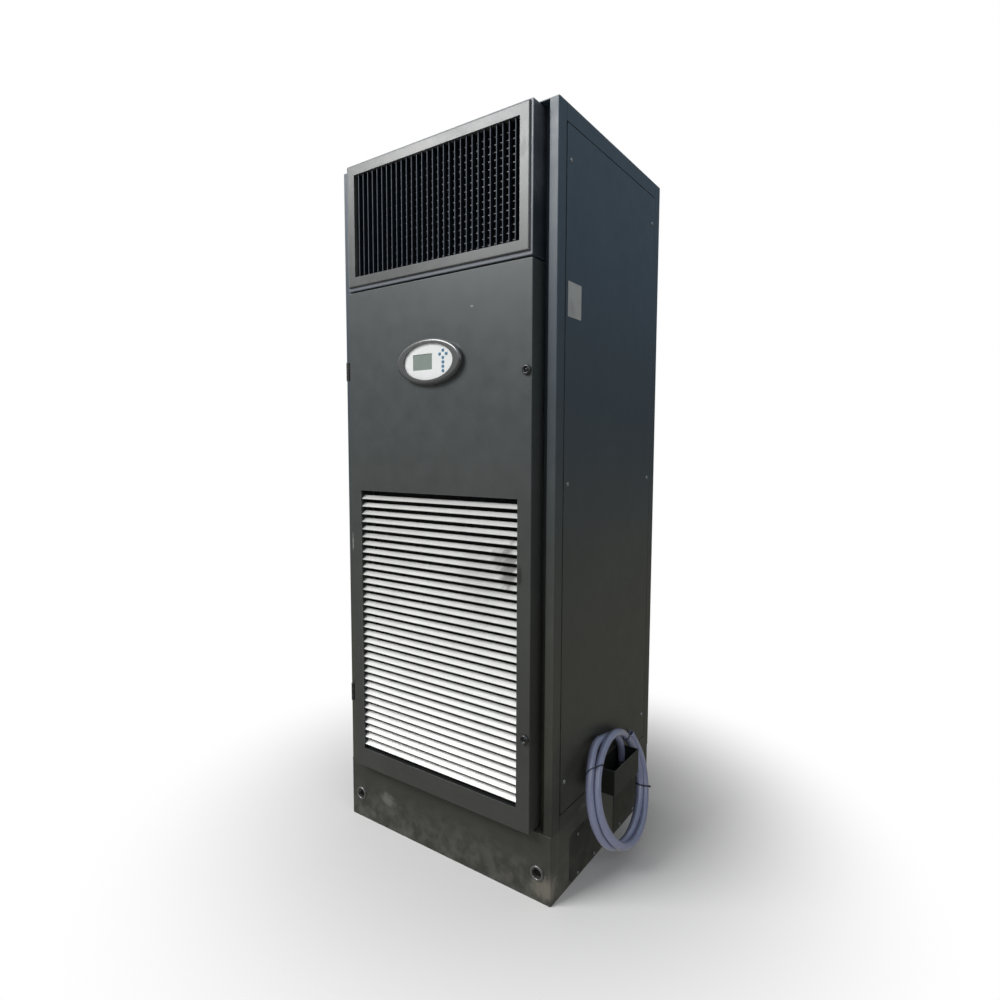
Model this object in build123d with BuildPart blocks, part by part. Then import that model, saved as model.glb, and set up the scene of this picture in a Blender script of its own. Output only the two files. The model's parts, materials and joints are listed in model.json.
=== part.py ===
from build123d import *
import os
from math import cos, pi, radians, sin

os.makedirs("parts", exist_ok=True)

# A free-standing computer room air conditioner: a sheet metal cabinet on a plinth.
# X runs to the right as seen from the front, Y to the rear, Z up, in millimetres.
# The origin is on the floor, under the middle of the cabinet.

# Cabinet
cabinet_width = 700.0
cabinet_depth = 600.0
cabinet_height = 1880.0
panel_sheet = 2.0          # outer panels
seat_gap = 0.3             # clearance where one piece seats in another
cut_overrun = 5.0

# Plinth
plinth_height = 175.0
plinth_inset = 1.0         # its sides and back, inside the cabinet's
plinth_front_proud = 2.0   # its front, in front of the posts
plinth_sheet = 3.0
plinth_flange = 30.0
plinth_beam_width = 60.0   # cross member under the middle
plinth_hole_radius = 15.0
plinth_hole_inset = 40.0   # from the cabinet's sides
plinth_hole_height = 72.0
ring_bore = 13.0           # grommets in the plinth's front
ring_outer = 19.5
ring_proud = 4.0
ring_back = 9.0
cover_plate_length = 175.0
cover_plate_height = 125.0
cover_plate_sheet = 1.5
cover_plate_radius = 12.0
cover_plate_foot = 5.0
cover_plate_overlap = 12.0
front_plate_middle = -120.0
rear_plate_middle = 137.0

# Frame
post_width = 25.0
post_depth = 36.0
post_radius = 2.5
frame_wall = 2.5
rail_height = 37.0
lip_length = 14.0
floor_sheet = 2.0

# Side, rear and roof panels
panel_groove = 3.0
panel_radius = 3.0

# Front
front_proud = 30.0         # door and grille panel stand out in front of the posts
front_side_gap = 22.0      # between the door's edges and the posts
pan_sheet = 2.0
pan_radius = 3.0
pan_lip = 14.0
door_foot_gap = 6.0        # above the plinth
door_head_gap = 4.5        # below the grille panel
door_depth = 52.0
pan_edge_round = 1.8       # outer bend of the folded edges
fascia_height = 335.5
fascia_head_gap = 4.0      # below the roof
surround_gap = 6.0         # behind the closed door
surround_sheet = 2.0

# Supply grille
grille_side = 33.0         # from the grille panel's edges
grille_height = 270.0
grille_drop = 165.0        # from the panel's top to the grille's middle
core_wall = 10.0
flange_side = 26.0         # round the grille opening
flange_proud = 5.0
flange_round = 3.5
vane_nose = 1.5            # radii of a vane's two edges
vane_tail = 0.5
vane_chord = 16.0
vane_setback = 4.0         # behind the flange's face
vane_row_gap = 6.0
upright_vanes = 30
vane_side_gap = 14.075     # from the opening to the first upright vane
level_vanes = 15
vane_head_gap = 13.9       # from the opening to the first level vane
plenum_depth = 170.0
plenum_sheet = 2.0

# Return louvre in the door
louvre_side = 38.0         # from the door's edges
louvre_foot = 55.0         # from the door's foot
louvre_height = 754.0
louvre_blade_count = 34
louvre_pitch = 21.75
blade_drop = 9.0
blade_reach = 12.5
blade_sheet = 1.5
blade_setback = 3.0
louvre_frame_wall = 8.0
louvre_frame_depth = 30.0

# Filter behind the door
filter_margin = 10.0
filter_depth = 46.0
filter_wall = 20.0
pleat_pitch = 26.0
pleat_depth = 30.0
pleat_sheet = 3.0
service_sheet = 1.0
service_margin = 34.0
service_side = 41.0

# Control panel on the door
bezel_half_width = 106.5
bezel_half_height = 58.0
bezel_drop = 210.0         # from the door's top to the panel's middle
bezel_proud = 15.0
bezel_round = 7.0
face_half_width = 82.4
face_half_height = 45.8
face_recess = 5.0
face_sheet = 2.0
display_width = 64.0
display_height = 40.0
display_rise = 0.5
display_shift = -20.0
display_recess = 1.5
button_radius = 4.2
button_proud = 1.5
button_column = 48.0
button_top = 25.0          # from the bezel's middle to the top key
button_row = 8.9
button_pitch = 10.75       # between the keys of the column
button_spread = 10.6
control_box_width = 170.0
control_box_height = 100.0
control_box_depth = 32.0

# Locks
lock_radius = 12.0
lock_proud = 7.0
lock_core_radius = 4.5
lock_core_proud = 1.5
lock_dish = 2.5
lock_inset = 13.5
lock_back = 16.0
lock_shank_radius = 9.0
upper_lock_drop = 249.0    # from the door's top
lower_lock_rise = 235.0    # from the door's foot

# Hinges
hinge_axis_out = 11.0      # beside the door's edge
hinge_axis_back = 8.0      # behind the door's face
hinge_radius = 8.0
hinge_length = 50.0
hinge_knuckle_share = 0.4
hinge_inset = 212.5
hinge_pin_radius = 3.0
hinge_pin_fit = 0.3
hinge_leaf_sheet = 4.0
hinge_leaf_reach = 20.0
hinge_knuckle_gap = 0.5

# Label plate on the right side
label_width = 64.0
label_height = 80.0
label_sheet = 1.0
label_middle = -220.0
label_drop = 427.0         # from the cabinet's top to the label's middle

# Hood and drain hose on the right side
hood_depth = 60.0
hood_front = -78.0
hood_rear = 79.0
hood_bottom = 195.0
hood_top = 263.0
hood_sheet = 2.0
hose_diameter = 21.0
hose_turns = 2
coil_middle = -37.0
coil_height = 206.5
coil_off_wall = 57.6       # from the side panel to the coil's middle
coil_half_length = 157.5
coil_half_height = 144.0
coil_lean = 15.4           # degrees that its foot stands out
gland_radius = 14.0
gland_length = 25.0
lead_off_wall = 17.0       # from the side panel to the lead's middle

# Worked out from the sizes above
half_width = cabinet_width / 2
half_depth = cabinet_depth / 2
front_face = -half_depth - front_proud
post_inner = half_width - post_width
door_back = front_face + door_depth
surround_front = door_back + surround_gap
surround_back = surround_front + surround_sheet
frame_top = cabinet_height - panel_sheet
front_half_width = post_inner - front_side_gap
fascia_top = cabinet_height - fascia_head_gap
fascia_bottom = fascia_top - fascia_height
door_bottom = plinth_height + door_foot_gap
door_top = fascia_bottom - door_head_gap
grille_width = 2 * (front_half_width - grille_side)
grille_middle = fascia_top - grille_drop
upright_pitch = (grille_width - 2 * vane_side_gap) / (upright_vanes - 1)
level_pitch = (grille_height - 2 * vane_head_gap) / (level_vanes - 1)
louvre_width = 2 * (front_half_width - louvre_side)
louvre_bottom = door_bottom + louvre_foot
louvre_top = louvre_bottom + louvre_height
louvre_middle = (louvre_bottom + louvre_top) / 2
service_half_width = front_half_width - service_side
plinth_hole_spacing = cabinet_width - 2 * plinth_hole_inset
bezel_height = door_top - bezel_drop
upper_lock_height = door_top - upper_lock_drop
lower_lock_height = door_bottom + lower_lock_rise
label_height_middle = cabinet_height - label_drop
hinge_x = -front_half_width - hinge_axis_out
hinge_y = front_face + hinge_axis_back


# A rectangular ring of tube or sheet, drawn in the current sketch
def ring_sketch(width, depth, wall, radius=0.0):
    if radius:
        RectangleRounded(width, depth, radius)
    else:
        Rectangle(width, depth)
    Rectangle(width - 2 * wall, depth - 2 * wall, mode=Mode.SUBTRACT)


def finish(piece, name):
    piece.part.label = name
    export_step(piece.part, f"parts/{name}.step")


# Plinth: four channel members that meet at the corners and a box beam across the middle
plinth_width = cabinet_width - 2 * plinth_inset
plinth_front = -half_depth - plinth_front_proud
plinth_rear = half_depth - plinth_inset
plinth_depth = plinth_rear - plinth_front
plinth_middle = (plinth_rear + plinth_front) / 2
plate_middles = {"front": front_plate_middle, "rear": rear_plate_middle}
plate_height_middle = cover_plate_foot + cover_plate_height / 2
members = {
    "plinth_front": (plinth_front + plinth_flange / 2, plinth_flange),
    "plinth_rear": (plinth_rear - plinth_flange / 2, plinth_flange),
    "plinth_sides": (plinth_middle, plinth_depth - 2 * plinth_flange),
}
for name, (member_y, member_depth) in members.items():
    with BuildPart() as member:
        with BuildSketch():
            with Locations((0, plinth_middle)):
                ring_sketch(plinth_width, plinth_depth, plinth_flange, post_radius)
            with Locations((0, member_y)):
                Rectangle(plinth_width, member_depth, mode=Mode.INTERSECT)
        extrude(amount=plinth_height)
        with BuildSketch(Plane.XY.offset(plinth_sheet)):
            with Locations((0, plinth_middle)):
                Rectangle(plinth_width - 2 * plinth_sheet, plinth_depth - 2 * plinth_sheet)
        extrude(amount=plinth_height - 2 * plinth_sheet, mode=Mode.SUBTRACT)
        if name == "plinth_front":
            with BuildSketch(Plane.XZ.offset(-plinth_front + cut_overrun)):
                with Locations((0, plinth_hole_height)):
                    with GridLocations(plinth_hole_spacing, 0, 2, 1):
                        Circle(plinth_hole_radius)
            extrude(amount=-plinth_sheet - 2 * cut_overrun, mode=Mode.SUBTRACT)
        if name == "plinth_sides":
            for plate_y in plate_middles.values():
                with BuildSketch(Plane.YZ):
                    with Locations((plate_y, plate_height_middle)):
                        RectangleRounded(cover_plate_length - 2 * cover_plate_overlap,
                                         cover_plate_height - 2 * cover_plate_overlap,
                                         cover_plate_radius)
                extrude(amount=half_width, both=True, mode=Mode.SUBTRACT)
    finish(member, name)

with BuildPart() as plinth_beam:
    with BuildSketch(Plane.YZ.offset(plinth_flange - plinth_width / 2)):
        with Locations((0, plinth_height / 2)):
            ring_sketch(plinth_beam_width, plinth_height, plinth_sheet)
    extrude(amount=plinth_width - 2 * plinth_flange)
finish(plinth_beam, "plinth_beam")

with BuildPart() as cover_plates:
    for sign in (-1, 1):
        with BuildSketch(Plane.YZ.offset(sign * plinth_width / 2)):
            for plate_y in plate_middles.values():
                with Locations((plate_y, plate_height_middle)):
                    RectangleRounded(cover_plate_length, cover_plate_height, cover_plate_radius)
        extrude(amount=sign * cover_plate_sheet)
finish(cover_plates, "plinth_cover_plates")

# Grommets in the two holes: a flange on the face and a sleeve through the sheet
with BuildPart() as plinth_rings:
    with BuildSketch(Plane.XZ.offset(-plinth_front)):
        with Locations((0, plinth_hole_height)):
            with GridLocations(plinth_hole_spacing, 0, 2, 1):
                Circle(ring_outer)
    extrude(amount=ring_proud)
    with BuildSketch(Plane.XZ.offset(-plinth_front)):
        with Locations((0, plinth_hole_height)):
            with GridLocations(plinth_hole_spacing, 0, 2, 1):
                Circle(plinth_hole_radius - seat_gap)
    extrude(amount=-ring_back)
    with BuildSketch(Plane.XZ.offset(-plinth_front + ring_proud)):
        with Locations((0, plinth_hole_height)):
            with GridLocations(plinth_hole_spacing, 0, 2, 1):
                Circle(ring_bore)
    extrude(amount=-ring_proud - ring_back, mode=Mode.SUBTRACT)
    fillet(plinth_rings.faces().sort_by(Axis.Y)[:2].edges(), ring_proud * 2 / 3)
finish(plinth_rings, "plinth_rings")

# Corner posts: box section with lips that the side and rear panels seat on
for side, sign_x in {"left": -1, "right": 1}.items():
    for end, sign_y in {"front": -1, "rear": 1}.items():
        middle_x = sign_x * (half_width - post_width / 2)
        middle_y = sign_y * (half_depth - post_depth / 2)
        lip_x = sign_x * (post_inner + frame_wall / 2)
        lip_y = sign_y * (half_depth - post_depth - lip_length / 2 + frame_wall)
        with BuildPart() as post:
            with BuildSketch(Plane.XY.offset(plinth_height)):
                with Locations((middle_x, middle_y)):
                    ring_sketch(post_width, post_depth, frame_wall, post_radius)
            extrude(amount=frame_top - plinth_height)
            with BuildSketch(Plane.XY.offset(plinth_height + rail_height)):
                with Locations((lip_x, lip_y)):
                    Rectangle(frame_wall, lip_length + 2 * frame_wall)
                if end == "rear":
                    with Locations((sign_x * (post_inner - lip_length / 2 + frame_wall),
                                    half_depth - post_depth + frame_wall / 2)):
                        Rectangle(lip_length + 2 * frame_wall, frame_wall)
            extrude(amount=frame_top - plinth_height - 2 * rail_height)
        finish(post, f"{end}_{side}_post")

# Rails between the posts, at the foot and at the top
side_rail_length = cabinet_depth - 2 * post_depth
cross_rail_length = cabinet_width - 2 * post_width
rail_y = half_depth - post_depth / 2
for name, rail_foot in {"base_rails": plinth_height, "top_rails": frame_top - rail_height}.items():
    with BuildPart() as rails:
        with BuildSketch(Plane.XZ.offset(-side_rail_length / 2)):
            with Locations((0, rail_foot + rail_height / 2)):
                with GridLocations(cabinet_width - post_width, 0, 2, 1):
                    ring_sketch(post_width, rail_height, frame_wall)
        extrude(amount=side_rail_length)
        with BuildSketch(Plane.YZ.offset(-cross_rail_length / 2)):
            with Locations((rail_y, rail_foot + rail_height / 2)):
                ring_sketch(post_depth, rail_height, frame_wall)
        extrude(amount=cross_rail_length)
    finish(rails, name)

# Floor of the cabinet, on the plinth's flange between the rails
with BuildPart() as floor_pan:
    with BuildSketch(Plane.XY.offset(plinth_height)):
        with Locations((0, (surround_back + half_depth - post_depth) / 2)):
            Rectangle(cross_rail_length, half_depth - post_depth - surround_back)
    extrude(amount=floor_sheet)
finish(floor_pan, "floor_pan")

# Side panels: shallow pans let into the frame, a groove all round
panel_foot = plinth_height + rail_height + panel_groove
panel_head = frame_top - rail_height - panel_groove
panel_height = panel_head - panel_foot
side_panel_length = side_rail_length - 2 * panel_groove
side_pan_depth = post_width - frame_wall
for side, sign in {"left": -1, "right": 1}.items():
    with BuildPart() as side_panel:
        with BuildSketch(Plane.YZ.offset(sign * half_width)):
            with Locations((0, (panel_foot + panel_head) / 2)):
                RectangleRounded(side_panel_length, panel_height, panel_radius)
        extrude(amount=-sign * side_pan_depth)
        with BuildSketch(Plane.YZ.offset(sign * (half_width - panel_sheet))):
            with Locations((0, (panel_foot + panel_head) / 2)):
                Rectangle(side_panel_length - 2 * panel_sheet, panel_height - 2 * panel_sheet)
        extrude(amount=-sign * side_pan_depth, mode=Mode.SUBTRACT)
    finish(side_panel, f"{side}_side_panel")

rear_panel_width = cross_rail_length - 2 * panel_groove
rear_pan_depth = post_depth - frame_wall
with BuildPart() as rear_panel:
    with BuildSketch(Plane.XZ.offset(-half_depth)):
        with Locations((0, (panel_foot + panel_head) / 2)):
            RectangleRounded(rear_panel_width, panel_height, panel_radius)
    extrude(amount=rear_pan_depth)
    with BuildSketch(Plane.XZ.offset(-half_depth + panel_sheet)):
        with Locations((0, (panel_foot + panel_head) / 2)):
            Rectangle(rear_panel_width - 2 * panel_sheet, panel_height - 2 * panel_sheet)
    extrude(amount=rear_pan_depth, mode=Mode.SUBTRACT)
finish(rear_panel, "rear_panel")

with BuildPart() as roof_panel:
    with BuildSketch(Plane.XY.offset(frame_top)):
        RectangleRounded(cabinet_width, cabinet_depth, post_radius)
    extrude(amount=panel_sheet)
finish(roof_panel, "roof_panel")

# Sheet behind the door and the grille panel, with the filter and grille openings
filter_width = louvre_width + 2 * filter_margin
filter_height = louvre_height + 2 * filter_margin
core_width = grille_width + 2 * core_wall
core_height = grille_height + 2 * core_wall
surround_height = frame_top - plinth_height
with BuildPart() as front_surround:
    with BuildSketch(Plane.XZ.offset(-surround_front)):
        with Locations((0, plinth_height + surround_height / 2)):
            Rectangle(cross_rail_length, surround_height)
        with Locations((0, louvre_middle)):
            Rectangle(filter_width, filter_height, mode=Mode.SUBTRACT)
        with Locations((0, grille_middle)):
            Rectangle(grille_width, grille_height, mode=Mode.SUBTRACT)
    extrude(amount=-surround_sheet)
finish(front_surround, "front_surround")

service_foot = louvre_top + filter_margin + service_margin
service_head = door_top - service_margin
with BuildPart() as service_cover:
    with BuildSketch(Plane.XZ.offset(-surround_front)):
        with Locations((0, (service_foot + service_head) / 2)):
            RectangleRounded(2 * service_half_width, service_head - service_foot, panel_radius)
    extrude(amount=service_sheet)
finish(service_cover, "service_cover")

# Filter: a deep frame on the back of the surround round a pleated pad
with BuildPart() as filter_frame:
    with BuildSketch(Plane.XZ.offset(-surround_back)):
        with Locations((0, louvre_middle)):
            ring_sketch(filter_width + filter_wall, filter_height + filter_wall, filter_wall)
    extrude(amount=-filter_depth)
finish(filter_frame, "filter_frame")

pad_width = filter_width - filter_wall - 2 * seat_gap
pad_height = filter_height - filter_wall - 2 * seat_gap
pleat_count = int(pad_width // pleat_pitch)
pleat_step = pad_width / (2 * pleat_count)
pad_front = surround_back + (filter_depth - pleat_depth) / 2
pleat_side = [(-pad_width / 2 + k * pleat_step, pad_front + (k % 2) * (pleat_depth - pleat_sheet))
              for k in range(2 * pleat_count + 1)]
pleat_back = [(x, y + pleat_sheet) for x, y in reversed(pleat_side)]
with BuildPart() as filter_pad:
    with BuildSketch(Plane.XY.offset(louvre_middle - pad_height / 2)):
        with BuildLine():
            Polyline(*pleat_side, *pleat_back, close=True)
        make_face()
    extrude(amount=pad_height)
finish(filter_pad, "filter_pad")


# A front pan: a skin with folded sides, cut for its grille or louvre
def pan_sketch(foot, head, shrink=0.0):
    with Locations((0, (foot + head) / 2)):
        if shrink:
            Rectangle(2 * (front_half_width - shrink), head - foot - 2 * shrink)
        else:
            RectangleRounded(2 * front_half_width, head - foot, pan_radius)


# Grille panel
with BuildPart() as grille_panel:
    with BuildSketch(Plane.XZ.offset(-front_face)):
        pan_sketch(fascia_bottom, fascia_top)
    extrude(amount=front_face - surround_front)
    fillet(grille_panel.faces().sort_by(Axis.Y)[0].edges(), pan_edge_round)
    with BuildSketch(Plane.XZ.offset(-front_face - pan_sheet)):
        pan_sketch(fascia_bottom, fascia_top, pan_sheet)
    extrude(amount=front_face - surround_front, mode=Mode.SUBTRACT)
    with BuildSketch(Plane.XZ.offset(-front_face)):
        with Locations((0, grille_middle)):
            Rectangle(core_width + 2 * seat_gap, core_height + 2 * seat_gap)
    extrude(amount=-2 * pan_sheet, mode=Mode.SUBTRACT)
finish(grille_panel, "grille_panel")

# Grille frame: a flange laid on the panel, and a box through it that holds the vanes
flange_front = front_face - flange_proud
with BuildPart() as grille_core:
    with BuildSketch(Plane.XZ.offset(-front_face)):
        with Locations((0, grille_middle)):
            Rectangle(grille_width + 2 * flange_side, grille_height + 2 * flange_side)
    extrude(amount=flange_proud)
    fillet(grille_core.faces().sort_by(Axis.Y)[0].edges(), flange_round)
    with BuildSketch(Plane.XZ.offset(-front_face)):
        with Locations((0, grille_middle)):
            Rectangle(core_width, core_height)
    extrude(amount=front_face - surround_front)
    with BuildSketch(Plane.XZ.offset(-flange_front)):
        with Locations((0, grille_middle)):
            Rectangle(grille_width, grille_height)
    extrude(amount=flange_front - surround_front, mode=Mode.SUBTRACT)
finish(grille_core, "grille_core")


# An air vane's section: a round nose that tapers back to a thin tail, along local X
with BuildSketch() as vane_section:
    with Locations((vane_nose - vane_chord / 2, 0)):
        Circle(vane_nose)
    with Locations((vane_chord / 2 - vane_tail, 0)):
        Circle(vane_tail)
    make_hull()

upright_y = flange_front + vane_setback + vane_chord / 2
level_y = upright_y + vane_chord + vane_row_gap
with BuildPart() as upright_vane_row:
    with BuildSketch(Plane.XY.offset(grille_middle - grille_height / 2 + seat_gap)):
        with Locations((0, upright_y)):
            with GridLocations(upright_pitch, 0, upright_vanes, 1):
                add(vane_section.sketch, rotation=90)
    extrude(amount=grille_height - 2 * seat_gap)
finish(upright_vane_row, "upright_vanes")

with BuildPart() as level_vane_row:
    with BuildSketch(Plane.YZ.offset(-grille_width / 2 + seat_gap)):
        with Locations((level_y, grille_middle)):
            with GridLocations(0, level_pitch, 1, level_vanes):
                add(vane_section.sketch)
    extrude(amount=grille_width - 2 * seat_gap)
finish(level_vane_row, "level_vanes")

# Plenum: an open-fronted box behind the supply grille
with BuildPart() as supply_plenum:
    with BuildSketch(Plane.XZ.offset(-surround_back)):
        with Locations((0, grille_middle)):
            Rectangle(core_width, core_height)
    extrude(amount=-plenum_depth)
    with BuildSketch(Plane.XZ.offset(-surround_back)):
        with Locations((0, grille_middle)):
            Rectangle(core_width - 2 * plenum_sheet, core_height - 2 * plenum_sheet)
    extrude(amount=-plenum_depth + plenum_sheet, mode=Mode.SUBTRACT)
finish(supply_plenum, "supply_plenum")

# Door: a deep pan with an inward lip round its back
lock_heights = {"upper": upper_lock_height, "lower": lower_lock_height}
lock_x = front_half_width - lock_inset
with BuildPart() as door_panel:
    with BuildSketch(Plane.XZ.offset(-front_face)):
        pan_sketch(door_bottom, door_top)
    extrude(amount=-door_depth)
    fillet(door_panel.faces().sort_by(Axis.Y)[0].edges(), pan_edge_round)
    with BuildSketch(Plane.XZ.offset(-front_face - pan_sheet)):
        pan_sketch(door_bottom, door_top, pan_sheet)
    extrude(amount=-door_depth + 2 * pan_sheet, mode=Mode.SUBTRACT)
    with BuildSketch(Plane.XZ.offset(-door_back + pan_sheet)):
        pan_sketch(door_bottom, door_top, pan_lip)
    extrude(amount=-pan_sheet, mode=Mode.SUBTRACT)
    with BuildSketch(Plane.XZ.offset(-front_face)):
        with Locations((0, louvre_middle)):
            Rectangle(louvre_width, louvre_height)
        with Locations((lock_x, upper_lock_height), (lock_x, lower_lock_height)):
            Circle(lock_shank_radius)
    extrude(amount=-2 * pan_sheet, mode=Mode.SUBTRACT)
finish(door_panel, "door_panel")

# Louvre: blades that slope down to the front, held between the cheeks of a frame
pan_back = front_face + pan_sheet
with BuildPart() as louvre_frame:
    with BuildSketch(Plane.XZ.offset(-pan_back)):
        with Locations((0, louvre_middle)):
            ring_sketch(louvre_width + 2 * louvre_frame_wall, louvre_height + 2 * louvre_frame_wall,
                        louvre_frame_wall)
    extrude(amount=-louvre_frame_depth)
finish(louvre_frame, "louvre_frame")

blade_y = front_face + blade_setback
first_blade = louvre_middle - (louvre_blade_count - 1) / 2 * louvre_pitch - blade_drop / 2
with BuildPart() as louvre_blades:
    with BuildSketch(Plane.YZ.offset(-louvre_width / 2 + seat_gap)):
        for k in range(louvre_blade_count):
            foot = first_blade + k * louvre_pitch
            with BuildLine():
                Polyline((blade_y, foot - blade_sheet),
                         (blade_y + blade_reach, foot + blade_drop - blade_sheet),
                         (blade_y + blade_reach + blade_sheet, foot + blade_drop - blade_sheet),
                         (blade_y + blade_reach + blade_sheet, foot + blade_drop),
                         (blade_y + blade_reach, foot + blade_drop),
                         (blade_y, foot), close=True)
            make_face()
    extrude(amount=louvre_width - 2 * seat_gap)
finish(louvre_blades, "louvre_blades")

# Control panel: an oval bezel round a pale face with a display and seven keys
with BuildPart() as control_bezel:
    with BuildSketch(Plane.XZ.offset(-front_face)):
        with Locations((0, bezel_height)):
            Ellipse(bezel_half_width, bezel_half_height)
    extrude(amount=bezel_proud)
    fillet(control_bezel.faces().sort_by(Axis.Y)[0].edges(), bezel_round)
    with BuildSketch(Plane.XZ.offset(-front_face + bezel_proud)):
        with Locations((0, bezel_height)):
            Ellipse(face_half_width, face_half_height)
    extrude(amount=-face_recess - face_sheet, mode=Mode.SUBTRACT)
finish(control_bezel, "control_bezel")

face_front = front_face - bezel_proud + face_recess
with BuildPart() as control_face:
    with BuildSketch(Plane.XZ.offset(-face_front)):
        with Locations((0, bezel_height)):
            Ellipse(face_half_width - seat_gap, face_half_height - seat_gap)
        with Locations((display_shift, bezel_height + display_rise)):
            Rectangle(display_width, display_height, mode=Mode.SUBTRACT)
    extrude(amount=-face_sheet)
finish(control_face, "control_face")

with BuildPart() as display:
    with BuildSketch(Plane.XZ.offset(-face_front - display_recess)):
        with Locations((display_shift, bezel_height + display_rise)):
            Rectangle(display_width - 2 * seat_gap, display_height - 2 * seat_gap)
    extrude(amount=display_recess - face_sheet)
finish(display, "display")

key_top = bezel_height + button_top
column_top = key_top - 2 * button_row
with BuildPart() as control_keys:
    with BuildSketch(Plane.XZ.offset(-face_front)):
        with Locations((button_column, key_top),
                       (button_column - button_spread, key_top - button_row),
                       (button_column + button_spread, key_top - button_row),
                       *[(button_column, column_top - key * button_pitch) for key in range(4)]):
            Circle(button_radius)
    extrude(amount=button_proud)
finish(control_keys, "control_keys")

with BuildPart() as control_box:
    with BuildSketch(Plane.XZ.offset(-pan_back)):
        with Locations((0, bezel_height)):
            RectangleRounded(control_box_width, control_box_height, panel_radius)
    extrude(amount=-control_box_depth)
finish(control_box, "control_box")

# Round key locks at the door's right edge
for place, lock_z in lock_heights.items():
    with BuildPart() as lock:
        with BuildSketch(Plane.XZ.offset(-front_face)):
            with Locations((lock_x, lock_z)):
                Circle(lock_radius)
        extrude(amount=lock_proud)
        with BuildSketch(Plane.XZ.offset(-front_face)):
            with Locations((lock_x, lock_z)):
                Circle(lock_shank_radius - seat_gap)
        extrude(amount=-lock_back)
        with BuildSketch(Plane.XZ.offset(-front_face + lock_proud)):
            with Locations((lock_x, lock_z)):
                Circle(lock_radius - lock_dish)
                Circle(lock_core_radius, mode=Mode.SUBTRACT)
        extrude(amount=-lock_core_proud, mode=Mode.SUBTRACT)
    finish(lock, f"{place}_lock")

# Hinges in the gap at the door's left edge: a middle knuckle on the door between two on the post
hinge_heights = {"upper": door_top - hinge_inset, "lower": door_bottom + hinge_inset}
knuckle_height = hinge_length * hinge_knuckle_share
leaf_x = -post_inner
for place, hinge_z in hinge_heights.items():
    with BuildPart() as post_leaf:
        with BuildSketch(Plane.XY.offset(hinge_z - hinge_length / 2)):
            with Locations((hinge_x, hinge_y)):
                Circle(hinge_radius)
            with BuildLine():
                Polyline((leaf_x, -half_depth), (leaf_x, -half_depth + hinge_leaf_reach),
                         (leaf_x + hinge_leaf_sheet, -half_depth + hinge_leaf_reach),
                         (leaf_x + hinge_leaf_sheet, -half_depth),
                         (hinge_x, hinge_y), (hinge_x - hinge_radius, hinge_y), close=True)
            make_face()
        extrude(amount=hinge_length)
        with BuildSketch(Plane.XY.offset(hinge_z - knuckle_height / 2)):
            with Locations((hinge_x, hinge_y)):
                Circle(hinge_radius + hinge_knuckle_gap)
                Circle(hinge_pin_radius, mode=Mode.SUBTRACT)
        extrude(amount=knuckle_height, mode=Mode.SUBTRACT)
    finish(post_leaf, f"{place}_hinge_post_leaf")

    with BuildPart() as door_leaf:
        with BuildSketch(Plane.XY.offset(hinge_z - knuckle_height / 2 + hinge_knuckle_gap)):
            with Locations((hinge_x, hinge_y)):
                Circle(hinge_radius)
            with Locations((-front_half_width - hinge_leaf_sheet / 2, hinge_y + hinge_leaf_reach / 2)):
                Rectangle(hinge_leaf_sheet, hinge_leaf_reach)
            with Locations((hinge_x + hinge_axis_out / 2, hinge_y + hinge_leaf_sheet / 2)):
                Rectangle(hinge_axis_out, hinge_leaf_sheet)
            with Locations((hinge_x, hinge_y)):
                Circle(hinge_pin_radius + hinge_pin_fit, mode=Mode.SUBTRACT)
        extrude(amount=knuckle_height - 2 * hinge_knuckle_gap)
    finish(door_leaf, f"{place}_hinge_door_leaf")

# Plain label plate on the right side
with BuildPart() as label_plate:
    with BuildSketch(Plane.YZ.offset(half_width)):
        with Locations((label_middle, label_height_middle)):
            Rectangle(label_width, label_height)
    extrude(amount=label_sheet)
finish(label_plate, "label_plate")

# Open-topped hood on the right side, where the drain hose comes out
hood_length = hood_rear - hood_front
with BuildPart() as hose_hood:
    with BuildSketch(Plane.XY.offset(hood_bottom)):
        with Locations((half_width + hood_depth / 2, (hood_front + hood_rear) / 2)):
            Rectangle(hood_depth, hood_length)
    extrude(amount=hood_top - hood_bottom)
    with BuildSketch(Plane.XY.offset(hood_bottom + hood_sheet)):
        with Locations((half_width + hood_depth / 2, (hood_front + hood_rear) / 2)):
            Rectangle(hood_depth - 2 * hood_sheet, hood_length - 2 * hood_sheet)
    extrude(amount=hood_top - hood_bottom, mode=Mode.SUBTRACT)
finish(hose_hood, "hose_hood")

# Hose: up out of a gland in the hood and over into the top of a two-turn coil
coil_width = hose_turns * hose_diameter
lead_x = half_width + lead_off_wall
lead_foot = hood_bottom + hood_sheet + gland_length
hose_route = [(lead_x, 60, lead_foot), (lead_x, 60, 252), (half_width + 16.5, 46, 284),
              (half_width + 15, 20, 308), (half_width + 13.5, -12, 323), (half_width + 12, -52, 331)]
lead_vectors = [Vector(*point) for point in hose_route]
lead_runs = [b - a for a, b in zip(lead_vectors, lead_vectors[1:])]
lead_radii = []
for before, after in zip(lead_runs, lead_runs[1:]):
    half_turn = radians(before.get_angle(after)) / 2
    lead_radii.append(0.45 * min(before.length, after.length) * cos(half_turn) / sin(half_turn))
print("hose radii", [round(radius, 1) for radius in lead_radii])
with BuildPart() as hose_lead:
    with BuildLine() as lead_line:
        FilletPolyline(*lead_vectors, radius=lead_radii)
    with BuildSketch(Plane(origin=lead_line.line @ 0, z_dir=lead_line.line % 0)):
        Circle(hose_diameter / 2)
    sweep()
lead_length = sum(edge.length for edge in lead_line.edges())
print("hose lead", lead_length, hose_lead.part.volume / (pi * hose_diameter ** 2 / 4 * lead_length))
finish(hose_lead, "hose_lead")

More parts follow.
